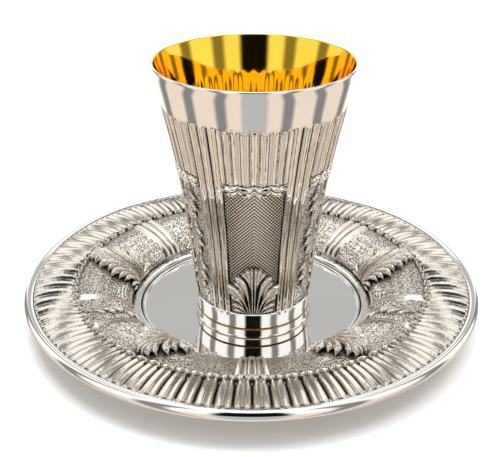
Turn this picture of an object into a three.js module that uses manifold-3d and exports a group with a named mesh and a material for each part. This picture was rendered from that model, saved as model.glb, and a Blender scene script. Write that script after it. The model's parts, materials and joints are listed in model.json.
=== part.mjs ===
// Kiddush cup with its saucer: a stemless silver beaker, its foot ring, and the dish it stands in.
// Millimetres, +Z up. The origin is on the table under the middle of the saucer, and the front,
// the side that the cup stands nearer to, faces -Y. Azimuths are degrees from the front towards +X.
import * as THREE from "three";
import Module from "manifold-3d";

const wasm = await Module();
wasm.setup();

const DEG = Math.PI / 180;
const TURN = 360;

// Beaker: heights are above the surface that the foot ring stands on.
const CUP_HEIGHT = 90;
const LIP_RADIUS = 32.5;
const LIP_WALL = 0.9;
const FLUTE_TOP = 77.6;          // lower edge of the plain band under the lip
const FLUTE_TOP_RADIUS = 29.75;
const FLUTE_FOOT = 9.0;          // where the fluted wall meets the plain foot band
const FLUTE_FOOT_RADIUS = 19.6;
const WALL_SAG = 1.5;            // how far the flared wall curves in from a straight line
const FOOT_BAND_RADIUS = 19.4;
const BEAKER_BOTTOM = 3.3;
const FLOOR_THICKNESS = 1.3;
const INNER_FLOOR = BEAKER_BOTTOM + FLOOR_THICKNESS;
const FLOOR_RADIUS = 16;         // where the inside turns up from its flat floor
const WALL_THICKNESS = 1.5;      // from the smooth wall line to the inside
const WALL_STEPS = [FLUTE_FOOT, 32, 53];
const SMOOTH_STEPS = 48;         // facets round the plain turned parts

// Beaker ornament: six panels, wide and narrow in turn, with three bold ribs between each two.
const PANELS = 6;
const PANEL_PITCH = TURN / PANELS;
const WIDE_HALF = 22.8;
const NARROW_HALF = 17;
const RIBS_PER_GROUP = 3;
const RIB_WIDTH = (PANEL_PITCH - WIDE_HALF - NARROW_HALF) / RIBS_PER_GROUP;
const RIB_CREST = 0.15;
const RIB_FLAT = [0.3, 0.7];     // a rib's flat crest, as shares of its width
const GROOVE_DEPTH = 0.45;
const FLUTES_PER_PANEL = 4;
const FLUTE_END = 1.8;           // the flutes run out over this height
const FLUTE_DEPTH = 0.45;
const RIDGE_CREST = 0.25;        // between two flutes
const FIELD_DEPTH = 0.6;         // the hatched field under the valance
const VALANCE_TOP = 58.6;
const VALANCE_HEIGHT = 3.2;
const VALANCE_DIP = 1.6;         // from the cusps down to the bottom of a scallop
const VALANCE_RELIEF = 0.5;
const VALANCE_EDGE = 0.4;

const HUSK_TOPS = [54, 41, 28];  // a chain of three, one hanging from the next

// Foot ring
const RING_HEIGHT = 3.0;
const RING_TOP_RADIUS = 19.4;
const RING_FOOT_RADIUS = 20.3;
const RING_BORE_RADIUS = 16.6;

// Saucer: heights are above the table.
const SAUCER_THICKNESS = 1.1;
const WELL_RADIUS = 37.9;
const WELL_COVE = 0.6;           // the small slope at the edge of the well
const LEDGE_RADIUS = 40.1;       // flat ring round the well
const LEDGE_HEIGHT = 1.6;        // above the well
const WALL_INNER_RADIUS = 42.4;
const WALL_OUTER_RADIUS = 60.2;
const WALL_HEIGHT = 8.0;         // of the domed wall, above the flat ring
const BAND_OUTER_RADIUS = 75.5;
const BEAD_RADIUS = 1.8;
const BEAD_DROP = 0.9;           // the rolled edge's centre is this far below the fluted band
const SAUCER_RADIUS = 79.0;
const BEAD_ANGLES = [-70, 0, 45, 100];
const FLUTE_UNITS = 82;
const FLUTE_RIDGE = 0.36;        // above the fluted band's mean level
const FLUTE_GROOVE = -0.54;
const FLUTE_FLAT = [0.28, 0.72]; // a ridge's flat crest, as shares of a unit's width
const FLUTE_INNER_END = 1.5;     // from the domed wall to where the ridges have their full height
const FLUTE_OUTER_END = 1.2;
const FLUTE_CROWN = 0.9;         // the band is this much higher half way across
const SAUCER_STEPS = 56;
const UNDERSIDE_STEPS = 44;
const DOME_STEPS = [0, 0.33, 0.66, 1];
const FOOT_FLAT_RADIUS = 41.6;   // flat underside, which stands on the table
const STAND_FORWARD = 5.3;       // the cup was set down this far in front of the saucer's middle
const STAND_RIGHT = 0.6;         // and this far to the right
const CLEARANCE = 0.3;           // between pieces that touch
const EDGE = 0.3;                // small eased edges

// Saucer ornament: rib bundles and leaves on the domed wall, by azimuth on the right-hand side.
const PLAIN_BUNDLES = [0, 135];
const HUSK_BUNDLES = [67];
const LEAF_PLACES = [35, 104, 180];
const BUNDLE_RIB_HALF = 1.6;
const BUNDLE_RIB_RELIEF = 0.7;
const RIB_CLEARANCE = 2.2;       // rib half widths from a rib to the next plain point of the wall
const HUSK_RIB_OFFSET = 9;
const LEAF_START = 0.03;         // where on the dome a leaf starts: 0 at the well, 1 at the flutes
const HUSK_STARTS = [0.92, 0.5];

// A leaf is lobes fanned out from its base: the angle between two lobes, and each lobe's length as a
// share of the leaf. Each lobe has two shoulders, so its end is blunt, and a notch on either side.
const LEAF = { length: 18.5, spread: 23, shares: [0.6, 0.78, 1, 0.78, 0.6] };
const HUSK = { length: 13, spread: 30, shares: [0.8, 1, 0.8] };
const SAUCER_LEAF = { ...LEAF, length: 21 };
const SAUCER_HUSK = { ...HUSK, length: 9.8 };
const SHOULDER_SHARE = 0.28;     // half of a lobe's end, as a share of the angle between lobes
const NOTCH_SHARE = 0.7;
const MIDDLE_SHARE = 0.5;
const LEAF_LIFT = 1.9;           // the tips stand off the wall
const HUSK_LIFT = 1.1;
const BASE_LIFT = 0.3;           // shares of the lift: at the base, half way up a lobe, in a notch
const LOBE_LIFT = 0.6;
const NOTCH_LIFT = 0.25;
const UNDERCUT = 0.94;           // how far out the root reaches, as a share of the edge
const ROOT_DEPTH = 1.2;          // before the root is cut off inside the sheet

const SILVER = { color: 0xd9d6d0, roughness: 0.18, metalness: 1 };

function polar(azimuth, radius, z) {
  const a = azimuth * DEG;
  return new THREE.Vector3(radius * Math.sin(a), -radius * Math.cos(a), z);
}

// A ring is a list of { azimuth, point }, in order of azimuth, one full turn.
function ring(azimuths, place) {
  return azimuths.map((azimuth) => {
    const [radius, z] = place(azimuth);
    return { azimuth, point: polar(azimuth, radius, z) };
  });
}

function evenAzimuths(count) {
  return Array.from({ length: count }, (_, i) => (TURN * i) / count);
}

function turnedRing(count, radius, z) {
  return ring(evenAzimuths(count), () => [radius, z]);
}

// Joins two rings, whatever their counts, by always taking the nearer next azimuth.
function stitch(triangles, lower, upper) {
  const next = (r, i) => (i + 1 < r.length ? r[i + 1].azimuth : r[0].azimuth + TURN);
  const at = (r, i) => r[i % r.length].point;
  let i = 0;
  let j = 0;
  while (i < lower.length || j < upper.length) {
    const stepLower = j >= upper.length || (i < lower.length && next(lower, i) <= next(upper, j));
    if (stepLower) {
      triangles.push([at(lower, i), at(lower, i + 1), at(upper, j)]);
      i += 1;
    } else {
      triangles.push([at(lower, i), at(upper, j + 1), at(upper, j)]);
      j += 1;
    }
  }
}

function closeWithCentre(triangles, edge, z, facingUp) {
  const centre = new THREE.Vector3(0, 0, z);
  edge.forEach((here, i) => {
    const there = edge[(i + 1) % edge.length];
    triangles.push(facingUp ? [here.point, there.point, centre] : [there.point, here.point, centre]);
  });
}

// Loft from the middle of the underside, out and up the outside, over the edge and in again.
function loftSolid(rings, bottomZ, topZ) {
  const triangles = [];
  closeWithCentre(triangles, rings[0], bottomZ, false);
  for (let k = 0; k + 1 < rings.length; k += 1) {
    stitch(triangles, rings[k], rings[k + 1]);
  }
  closeWithCentre(triangles, rings[rings.length - 1], topZ, true);
  return toManifold(triangles);
}

function loftRing(rings) {
  const triangles = [];
  rings.forEach((here, k) => stitch(triangles, here, rings[(k + 1) % rings.length]));
  return toManifold(triangles);
}

// Points made from the same numbers are one vertex.
function toManifold(triangles) {
  const places = new Map();
  const positions = [];
  const indices = [];
  for (const triangle of triangles) {
    const corners = triangle.map((point) => {
      const numbers = [point.x, point.y, point.z].map((v) => Math.fround(v));
      const key = numbers.join(" ");
      if (!places.has(key)) {
        places.set(key, places.size);
        positions.push(...numbers);
      }
      return places.get(key);
    });
    if (new Set(corners).size === 3) {
      indices.push(...corners);
    }
  }
  return new wasm.Manifold(new wasm.Mesh({
    numProp: 3,
    vertProperties: new Float32Array(positions),
    triVerts: new Uint32Array(indices),
  }));
}

function toMesh(name, solid, finish) {
  const { vertProperties, triVerts } = solid.getMesh();
  const geometry = new THREE.BufferGeometry();
  geometry.setAttribute("position", new THREE.BufferAttribute(new Float32Array(vertProperties), 3));
  geometry.setIndex(new THREE.BufferAttribute(new Uint32Array(triVerts), 1));
  geometry.computeVertexNormals();
  const mesh = new THREE.Mesh(geometry, new THREE.MeshStandardMaterial(finish));
  mesh.name = name;
  return mesh;
}

// The rays of a leaf, from one side to the other: a lobe's two shoulders, a notch, and so on.
function leafRays({ spread, shares }) {
  const middle = (shares.length - 1) / 2;
  return shares.flatMap((share, i) => {
    const angle = (i - middle) * spread;
    const shoulders = [-SHOULDER_SHARE, SHOULDER_SHARE].map((side) => (
      { angle: angle + side * spread, reach: share, ridge: true }
    ));
    if (i + 1 === shares.length) {
      return shoulders;
    }
    const reach = NOTCH_SHARE * Math.min(share, shares[i + 1]);
    return [...shoulders, { angle: angle + spread / 2, reach, ridge: false }];
  });
}

// A leaf that rises from its base to the lobes' tips, with a valley down to each notch.
// place(across, along, out) puts a point of the leaf on the surface that carries it.
function leafSolid(leaf, lift, place) {
  const rays = leafRays(leaf);
  const on = (ray, share, out) => {
    const reach = ray.reach * share * leaf.length;
    return place(reach * Math.sin(ray.angle * DEG), reach * Math.cos(ray.angle * DEG), out);
  };
  const base = place(0, 0, lift * BASE_LIFT);
  const root = place(0, 0, -ROOT_DEPTH);
  const middle = rays.map((ray) => on(ray, MIDDLE_SHARE, lift * (ray.ridge ? LOBE_LIFT : NOTCH_LIFT)));
  const edge = rays.map((ray) => on(ray, 1, ray.ridge ? lift : lift * NOTCH_LIFT));
  const under = rays.map((ray) => on(ray, UNDERCUT, -ROOT_DEPTH));
  const triangles = [];
  for (let i = 0; i + 1 < rays.length; i += 1) {
    triangles.push([base, middle[i + 1], middle[i]]);
    triangles.push([middle[i], middle[i + 1], edge[i + 1]], [middle[i], edge[i + 1], edge[i]]);
    triangles.push([edge[i], edge[i + 1], under[i + 1]], [edge[i], under[i + 1], under[i]]);
    triangles.push([root, under[i], under[i + 1]]);
  }
  const last = rays.length - 1;
  triangles.push([base, middle[0], edge[0]], [base, edge[0], under[0]], [base, under[0], root]);
  triangles.push([base, edge[last], middle[last]], [base, under[last], edge[last]]);
  triangles.push([base, root, under[last]]);
  return toManifold(triangles);
}

// ---- Beaker ----

function wallRadius(z) {
  const t = (z - FLUTE_FOOT) / (FLUTE_TOP - FLUTE_FOOT);
  const straight = FLUTE_FOOT_RADIUS + (FLUTE_TOP_RADIUS - FLUTE_FOOT_RADIUS) * t;
  return straight - 4 * WALL_SAG * t * (1 - t);
}

function panelHalf(index) {
  return index % 2 === 0 ? WIDE_HALF : NARROW_HALF;
}

// Azimuths and kinds of the points round the beaker; each panel is followed by its rib group.
function beakerPoints(fieldShares) {
  const points = [];
  for (let k = 0; k < PANELS; k += 1) {
    const half = panelHalf(k);
    const centre = k * PANEL_PITCH;
    for (const { share, kind } of fieldShares) {
      points.push({ azimuth: centre + share * half, kind });
    }
    for (let rib = 0; rib < RIBS_PER_GROUP; rib += 1) {
      const start = centre + half + rib * RIB_WIDTH;
      points.push({ azimuth: start, kind: "groove" });
      RIB_FLAT.forEach((share) => points.push({ azimuth: start + share * RIB_WIDTH, kind: "rib" }));
    }
    points.push({ azimuth: centre + half + RIBS_PER_GROUP * RIB_WIDTH, kind: "groove" });
  }
  const wrapped = points.map((p) => ({ azimuth: (p.azimuth + TURN) % TURN, kind: p.kind }));
  return wrapped.sort((p, q) => p.azimuth - q.azimuth);
}

// Points across a panel's flutes: at each flute the listed shares of its width, a ridge between two.
function flutePoints(across) {
  const points = [];
  const width = 2 / FLUTES_PER_PANEL;
  for (let flute = 0; flute < FLUTES_PER_PANEL; flute += 1) {
    const start = -1 + flute * width;
    if (flute > 0) {
      points.push({ share: start, kind: "ridge" });
    }
    across.forEach(({ part, kind }) => points.push({ share: start + part * width, kind }));
  }
  return beakerPoints(points);
}

function fieldPoints() {
  return beakerPoints([-0.5, 0, 0.5].map((share) => ({ share, kind: "field" })));
}

function kindRing(points, place) {
  return points.map((p) => {
    const [radius, z] = place(p.kind);
    return { azimuth: p.azimuth, point: polar(p.azimuth, radius, z) };
  });
}

const RIB_RELIEF = { rib: RIB_CREST, groove: -GROOVE_DEPTH };
const FLUTE_SHAPE = [{ part: 0.18, kind: "flute" }, { part: 0.82, kind: "flute" }];
const SCALLOP_SHAPE = [
  { part: 0.2, kind: "side" },
  { part: 0.5, kind: "bottom" },
  { part: 0.8, kind: "side" },
];
const SCALLOP_HANG = { ridge: 0, side: 0.75, bottom: 1, rib: 0, groove: 0 };

// In the panels the roll of the valance hangs in scallops: low under a flute, with a cusp at a ridge.
function valanceRing(points, drop, relief) {
  return kindRing(points, (kind) => {
    const z = VALANCE_TOP - drop - VALANCE_DIP * SCALLOP_HANG[kind];
    const out = kind in RIB_RELIEF ? RIB_RELIEF[kind] : relief;
    return [wallRadius(z) + out, z];
  });
}

function beakerRings() {
  const flutes = flutePoints(FLUTE_SHAPE);
  const scallops = flutePoints(SCALLOP_SHAPE);
  const fields = fieldPoints();
  const relief = { ...RIB_RELIEF, flute: -FLUTE_DEPTH, ridge: RIDGE_CREST, field: -FIELD_DEPTH };
  const carved = (points, z) => kindRing(points, (kind) => [wallRadius(z) + relief[kind], z]);
  const turned = (radius, z) => turnedRing(SMOOTH_STEPS, radius, z);
  const inside = (z) => turned(wallRadius(z) - WALL_THICKNESS, z);
  return [
    turned(FOOT_BAND_RADIUS, BEAKER_BOTTOM),
    turned(FOOT_BAND_RADIUS, FLUTE_FOOT - EDGE),
    ...WALL_STEPS.map((z) => carved(fields, z)),
    valanceRing(scallops, VALANCE_HEIGHT, -FIELD_DEPTH),
    valanceRing(scallops, VALANCE_HEIGHT - VALANCE_EDGE, VALANCE_RELIEF),
    valanceRing(scallops, VALANCE_EDGE, VALANCE_RELIEF),
    valanceRing(scallops, -VALANCE_EDGE, -FLUTE_DEPTH),
    carved(flutes, FLUTE_TOP - FLUTE_END),
    turned(FLUTE_TOP_RADIUS, FLUTE_TOP),
    turned(LIP_RADIUS - EDGE, CUP_HEIGHT - LIP_WALL),
    turned(LIP_RADIUS, CUP_HEIGHT - LIP_WALL / 2),
    turned(LIP_RADIUS - LIP_WALL / 2, CUP_HEIGHT),
    turned(LIP_RADIUS - LIP_WALL, CUP_HEIGHT - LIP_WALL / 2),
    inside(FLUTE_TOP),
    ...WALL_STEPS.toReversed().map(inside),
    turned(FLOOR_RADIUS, INNER_FLOOR),
  ];
}

// Puts a leaf on the wall of a panel: up the wall from the foot, or hanging down it.
function onBeaker(azimuth, baseZ, direction) {
  return (across, along, out) => {
    const z = baseZ + direction * along;
    const radius = wallRadius(z) - FIELD_DEPTH + out;
    return polar(azimuth + (direction * across) / (wallRadius(z) * DEG), radius, z);
  };
}

// Everything inside the middle of the wall: what is cut from a leaf's root.
function beakerCore() {
  const depth = (FIELD_DEPTH + WALL_THICKNESS) / 2;
  const ringAt = (z) => turnedRing(SMOOTH_STEPS, wallRadius(z) - depth, z);
  return loftSolid([...WALL_STEPS, FLUTE_TOP].map(ringAt), FLUTE_FOOT, FLUTE_TOP);
}

function makeBeaker() {
  const core = beakerCore();
  let solid = loftSolid(beakerRings(), BEAKER_BOTTOM, INNER_FLOOR);
  for (let k = 0; k < PANELS; k += 1) {
    const azimuth = k * PANEL_PITCH;
    if (k % 2 === 0) {
      const leaf = leafSolid(LEAF, LEAF_LIFT, onBeaker(azimuth, FLUTE_FOOT + EDGE, 1));
      solid = solid.add(leaf.subtract(core));
    } else {
      for (const top of HUSK_TOPS) {
        const husk = leafSolid(HUSK, HUSK_LIFT, onBeaker(azimuth, top, -1));
        solid = solid.add(husk.subtract(core));
      }
    }
  }
  return solid;
}

function makeFootRing() {
  const turned = (radius, z) => turnedRing(SMOOTH_STEPS, radius, z);
  return loftRing([
    turned(RING_BORE_RADIUS, 0),
    turned(RING_FOOT_RADIUS - EDGE, 0),
    turned(RING_FOOT_RADIUS, EDGE),
    turned(RING_TOP_RADIUS, RING_HEIGHT),
    turned(RING_BORE_RADIUS, RING_HEIGHT),
  ]);
}

// ---- Saucer ----

const WELL_TOP = SAUCER_THICKNESS;
const LEDGE_TOP = WELL_TOP + LEDGE_HEIGHT;
const BAND_Z = LEDGE_TOP + WALL_HEIGHT;
const BEAD_Z = BAND_Z - BEAD_DROP;

// The domed wall is a quarter of an ellipse: steep at the well, level where the flutes start.
function domedWall(t) {
  const turn = (Math.PI / 2) * t;
  const width = WALL_OUTER_RADIUS - WALL_INNER_RADIUS;
  return [WALL_OUTER_RADIUS - width * Math.cos(turn), LEDGE_TOP + WALL_HEIGHT * Math.sin(turn)];
}

function bothSides(azimuths) {
  return azimuths.flatMap((a) => (a % 180 === 0 ? [a] : [a, TURN - a]));
}

function bundleRibs() {
  const plain = bothSides(PLAIN_BUNDLES).flatMap((a) => [-2, 0, 2].map((n) => a + n * BUNDLE_RIB_HALF));
  const husk = bothSides(HUSK_BUNDLES).flatMap((a) => [a - HUSK_RIB_OFFSET, a + HUSK_RIB_OFFSET]);
  return [...plain, ...husk].map((a) => (a + TURN) % TURN);
}

// Points round the domed wall: each rib's crest and its two sides, and even points between.
function wallPoints() {
  const ribs = bundleRibs();
  const points = new Map();
  for (const crest of ribs) {
    points.set(crest, "crest");
    for (const side of [-BUNDLE_RIB_HALF, BUNDLE_RIB_HALF]) {
      points.set((crest + side + TURN) % TURN, "wall");
    }
  }
  const gap = (a, b) => Math.abs(((a - b + 540) % TURN) - 180);
  for (const azimuth of evenAzimuths(SAUCER_STEPS)) {
    if (ribs.every((crest) => gap(azimuth, crest) > RIB_CLEARANCE * BUNDLE_RIB_HALF)) {
      points.set(azimuth, "wall");
    }
  }
  const list = [...points].map(([azimuth, kind]) => ({ azimuth, kind }));
  return list.sort((p, q) => p.azimuth - q.azimuth);
}

function radialFlutePoints() {
  const points = [];
  for (let unit = 0; unit < FLUTE_UNITS; unit += 1) {
    const start = (TURN * unit) / FLUTE_UNITS;
    const width = TURN / FLUTE_UNITS;
    points.push({ azimuth: start, kind: "groove" });
    FLUTE_FLAT.forEach((share) => points.push({ azimuth: start + share * width, kind: "ridge" }));
  }
  return points;
}

function domedRing(points, t) {
  const lean = t * 90 * DEG;
  return kindRing(points, (kind) => {
    const [radius, z] = domedWall(t);
    const out = kind === "crest" ? BUNDLE_RIB_RELIEF : 0;
    return [radius - out * Math.cos(lean), z + out * Math.sin(lean)];
  });
}

// A ring under the dome, at a depth square to it.
function underDome(t, depth) {
  const [radius, z] = domedWall(t);
  const across = WALL_HEIGHT * Math.cos(t * 90 * DEG);
  const down = (WALL_OUTER_RADIUS - WALL_INNER_RADIUS) * Math.sin(t * 90 * DEG);
  const scale = depth / Math.hypot(across, down);
  return turnedRing(UNDERSIDE_STEPS, radius + across * scale, z - down * scale);
}

function flutedRing(radius, crown) {
  const relief = { ridge: FLUTE_RIDGE, groove: FLUTE_GROOVE };
  return kindRing(radialFlutePoints(), (kind) => [radius, BAND_Z + crown + relief[kind]]);
}

function saucerRings() {
  const wall = wallPoints();
  const turned = (radius, z) => turnedRing(SAUCER_STEPS, radius, z);
  const beadCentre = SAUCER_RADIUS - BEAD_RADIUS;
  const bead = (degrees) => turned(
    beadCentre + BEAD_RADIUS * Math.cos(degrees * DEG),
    BEAD_Z + BEAD_RADIUS * Math.sin(degrees * DEG),
  );
  return [
    turnedRing(UNDERSIDE_STEPS, FOOT_FLAT_RADIUS, 0),
    ...DOME_STEPS.map((t) => underDome(t, SAUCER_THICKNESS)),
    turnedRing(UNDERSIDE_STEPS, beadCentre - BEAD_RADIUS, BAND_Z - SAUCER_THICKNESS - EDGE),
    ...BEAD_ANGLES.map(bead),
    turned(BAND_OUTER_RADIUS, BAND_Z - EDGE),
    flutedRing(BAND_OUTER_RADIUS - FLUTE_OUTER_END, 0),
    flutedRing((WALL_OUTER_RADIUS + BAND_OUTER_RADIUS) / 2, FLUTE_CROWN),
    flutedRing(WALL_OUTER_RADIUS + FLUTE_INNER_END, 0),
    ...DOME_STEPS.toReversed().map((t) => domedRing(wall, t)),
    turned(LEDGE_RADIUS, LEDGE_TOP),
    turned(WELL_RADIUS + WELL_COVE, WELL_TOP + EDGE),
    turned(WELL_RADIUS, WELL_TOP),
  ];
}

// Puts a leaf on the domed wall, outwards from the well or back towards it.
function onSaucer(azimuth, start, direction) {
  const arc = (Math.PI / 2) * Math.hypot(WALL_OUTER_RADIUS - WALL_INNER_RADIUS, WALL_HEIGHT) / Math.SQRT2;
  return (across, along, out) => {
    const t = start + (direction * along) / arc;
    const [radius, z] = domedWall(t);
    const lean = t * 90 * DEG;
    const turned = azimuth - (direction * across) / (radius * DEG);
    return polar(turned, radius - out * Math.cos(lean), z + out * Math.sin(lean));
  };
}

// Everything above the middle of the domed sheet: what is kept of a leaf's root.
function aboveDome() {
  const rim = turnedRing(UNDERSIDE_STEPS, SAUCER_RADIUS, BAND_Z + LEAF.length);
  const middle = DOME_STEPS.map((t) => underDome(t, SAUCER_THICKNESS / 2));
  return loftSolid([...middle, rim], LEDGE_TOP, BAND_Z + LEAF.length);
}

function makeSaucer() {
  const above = aboveDome();
  let solid = loftSolid(saucerRings(), 0, WELL_TOP);
  for (const azimuth of bothSides(LEAF_PLACES)) {
    const leaf = leafSolid(SAUCER_LEAF, LEAF_LIFT, onSaucer(azimuth, LEAF_START, 1));
    solid = solid.add(leaf.intersect(above));
  }
  for (const azimuth of bothSides(HUSK_BUNDLES)) {
    for (const start of HUSK_STARTS) {
      const husk = leafSolid(SAUCER_HUSK, HUSK_LIFT, onSaucer(azimuth, start, -1));
      solid = solid.add(husk.intersect(above));
    }
  }
  return solid;
}

const cup = new THREE.Group();
cup.add(toMesh("beaker", makeBeaker(), SILVER));
cup.add(toMesh("foot_ring", makeFootRing(), SILVER));
cup.position.set(STAND_RIGHT, -STAND_FORWARD, WELL_TOP + CLEARANCE);

const group = new THREE.Group();
group.add(cup);
group.add(toMesh("saucer", makeSaucer(), SILVER));

export default group;
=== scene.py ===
"""Kiddush cup with its saucer: the finish of a silver beaker, gilt inside, and of the dish it stands in.

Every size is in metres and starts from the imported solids. Millimetre values are the ornament's own
sizes. Azimuths are degrees from the front (-Y) towards +X, as in the part's source.
"""

import json
import math

import bpy
import numpy as np
from mathutils import Matrix, Vector

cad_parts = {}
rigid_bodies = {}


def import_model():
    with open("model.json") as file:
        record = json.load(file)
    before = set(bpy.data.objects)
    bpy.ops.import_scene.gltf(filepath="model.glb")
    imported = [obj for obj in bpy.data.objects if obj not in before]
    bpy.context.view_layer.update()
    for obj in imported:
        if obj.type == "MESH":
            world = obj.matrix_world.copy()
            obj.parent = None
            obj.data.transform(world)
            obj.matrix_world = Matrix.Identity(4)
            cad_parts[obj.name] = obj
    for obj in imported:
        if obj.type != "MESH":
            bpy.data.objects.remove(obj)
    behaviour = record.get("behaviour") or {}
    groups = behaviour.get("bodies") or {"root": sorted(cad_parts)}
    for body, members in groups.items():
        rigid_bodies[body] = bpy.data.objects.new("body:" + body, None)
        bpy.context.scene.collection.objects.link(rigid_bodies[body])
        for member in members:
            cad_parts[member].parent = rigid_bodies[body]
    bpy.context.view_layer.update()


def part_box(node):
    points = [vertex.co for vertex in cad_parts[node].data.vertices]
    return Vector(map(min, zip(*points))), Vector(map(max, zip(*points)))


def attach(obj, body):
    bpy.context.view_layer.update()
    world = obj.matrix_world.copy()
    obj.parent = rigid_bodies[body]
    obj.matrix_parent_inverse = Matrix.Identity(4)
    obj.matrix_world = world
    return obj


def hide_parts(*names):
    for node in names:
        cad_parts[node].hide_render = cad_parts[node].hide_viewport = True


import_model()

MM = 0.001
TAU = 2 * math.pi


# ---- Sizes, from the solids ----

def box_centre(node):
    low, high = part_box(node)
    return (low + high) / 2


SAUCER_LOW, SAUCER_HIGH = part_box("saucer")
BEAKER_LOW, BEAKER_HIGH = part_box("beaker")
RING_LOW, RING_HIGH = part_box("foot_ring")

CUP_CENTRE = box_centre("beaker")
SAUCER_RADIUS = SAUCER_HIGH.x
LIP_RADIUS = (BEAKER_HIGH.x - BEAKER_LOW.x) / 2
FOOT_Z = RING_LOW.z               # what the cup's heights are measured from
CUP_HEIGHT = BEAKER_HIGH.z - FOOT_Z
WELL_Z = FOOT_Z - 0.3 * MM        # the cup stands on the well

# Beaker: heights above its foot.
FLUTE_TOP = 77.6 * MM
FLUTE_TOP_RADIUS = 29.75 * MM
FLUTE_FOOT = 9.0 * MM
FLUTE_FOOT_RADIUS = 19.6 * MM
WALL_SAG = 1.5 * MM
WALL_THICKNESS = 1.5 * MM
LIP_WALL = 0.9 * MM
FOOT_BAND_RADIUS = 19.4 * MM
BEAKER_BOTTOM = BEAKER_LOW.z - FOOT_Z
INNER_FLOOR = BEAKER_BOTTOM + 1.3 * MM

PANELS = 6
PANEL_PITCH = 360 / PANELS
WIDE_HALF = 22.8                  # degrees, the hatched panels
NARROW_HALF = 17.0                # degrees, the panels with husks
RIBS_PER_GROUP = 3
FLUTES_PER_PANEL = 4
FIELD_DEPTH = 0.6 * MM
VALANCE_TOP = 58.6 * MM

# Saucer
WELL_RADIUS = 37.9 * MM
LEDGE_Z = WELL_Z + 1.6 * MM
WALL_INNER = 42.4 * MM
WALL_OUTER = 60.2 * MM
WALL_HEIGHT = 8.0 * MM
BAND_Z = LEDGE_Z + WALL_HEIGHT
BAND_OUTER = 76.0 * MM
BEAD_RADIUS = 1.8 * MM
BEAD_CENTRE = SAUCER_RADIUS - BEAD_RADIUS
BEAD_Z = BAND_Z - 0.9 * MM
SHEET = 1.1 * MM
FLUTE_UNITS = 82

PLAIN_BUNDLES = (0, 135, 225)
HUSK_BUNDLES = (67, 293)
LEAF_PLACES = (35, 104, 180, 256, 325)
BUNDLE_RIB_HALF = 1.6             # degrees
HUSK_RIB_OFFSET = 9.0             # degrees


# ---- Modelling tools ----

def deselect_all():
    for obj in bpy.context.view_layer.objects:
        obj.select_set(False)


def named(name):
    obj = bpy.context.active_object
    obj.name = name
    obj.data.name = name
    return obj


def spun_piece(name, profile, steps, centre):
    """Draws a profile of (radius, height) points by extruding one vertex, and spins it round."""
    deselect_all()
    bpy.ops.mesh.primitive_plane_add(size=1 * MM, location=(0, 0, 0))
    obj = named(name)
    bpy.ops.object.mode_set(mode="EDIT")
    bpy.ops.mesh.select_all(action="SELECT")
    bpy.ops.mesh.merge(type="CENTER")
    first = Vector((0, -profile[0][0], profile[0][1]))
    bpy.ops.transform.translate(value=first)
    here = first
    for radius, height in profile[1:]:
        there = Vector((0, -radius, height))
        bpy.ops.mesh.extrude_region_move(TRANSFORM_OT_translate={"value": there - here})
        here = there
    bpy.ops.object.mode_set(mode="OBJECT")
    bpy.ops.object.modifier_add(type="SCREW")
    turned = obj.modifiers[-1]
    turned.axis = "Z"
    turned.angle = TAU
    turned.steps = steps
    turned.render_steps = steps
    turned.use_merge_vertices = True
    turned.merge_threshold = 0.001 * MM
    turned.use_normal_calculate = True
    bpy.ops.object.modifier_apply(modifier=turned.name)
    bpy.ops.object.mode_set(mode="EDIT")
    bpy.ops.mesh.select_all(action="SELECT")
    bpy.ops.mesh.remove_doubles(threshold=0.002 * MM)
    bpy.ops.mesh.normals_make_consistent(inside=False)
    bpy.ops.object.mode_set(mode="OBJECT")
    obj.data.transform(Matrix.Translation(centre))
    return obj


def points_of(obj):
    points = np.empty(len(obj.data.vertices) * 3, np.float32)
    obj.data.vertices.foreach_get("co", points)
    return points.reshape(-1, 3).astype(float)


def set_points(obj, points):
    obj.data.vertices.foreach_set("co", points.astype(np.float32).ravel())
    obj.data.update()


def turned_places(obj, centre):
    """Azimuth in degrees, radius and height of every vertex, about an upright axis."""
    points = points_of(obj) - np.array(centre)
    azimuth = np.degrees(np.arctan2(points[:, 0], -points[:, 1]))
    return azimuth, np.hypot(points[:, 0], points[:, 1]), points[:, 2]


def put_turned(obj, centre, azimuth, radius, height):
    turn = np.radians(azimuth)
    points = np.stack([radius * np.sin(turn), -radius * np.cos(turn), height], axis=1)
    set_points(obj, points + np.array(centre))


def mark(obj, name, values):
    """One number a vertex, which a material reads by name."""
    layer = obj.data.attributes.new(name, "FLOAT", "POINT")
    layer.data.foreach_set("value", np.asarray(values, np.float32))


CREASE = math.radians(38)         # a turned or chased corner sharper than this stays crisp


def smooth(obj):
    deselect_all()
    obj.select_set(True)
    bpy.context.view_layer.objects.active = obj
    bpy.ops.object.shade_smooth_by_angle(angle=CREASE)


def finish_piece(obj, material_slot, *nodes):
    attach(obj, "root")
    if nodes:
        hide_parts(*nodes)


def ramp01(value, low, high):
    t = np.clip((value - low) / (high - low), 0, 1)
    return t * t * (3 - 2 * t)


def nearest(azimuth, places):
    """Signed degrees from the nearest of some azimuths."""
    away = [(azimuth - place + 180) % 360 - 180 for place in places]
    away = np.stack(away)
    pick = np.argmin(np.abs(away), axis=0)
    return away[pick, np.arange(len(azimuth))]


def arc(centre_r, centre_z, radius, start, end, count):
    """Points of a round stretch of a profile; angles in degrees, 0 outwards, 90 up."""
    angles = np.radians(np.linspace(start, end, count))
    return [(centre_r + radius * math.cos(a), centre_z + radius * math.sin(a)) for a in angles]


# ---- Materials ----

def linear(hex_colour):
    """An sRGB hex colour as linear RGBA."""
    parts = [int(hex_colour[i:i + 2], 16) / 255 for i in (1, 3, 5)]
    return tuple(c / 12.92 if c <= 0.04045 else ((c + 0.055) / 1.055) ** 2.4 for c in parts) + (1.0,)


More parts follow.
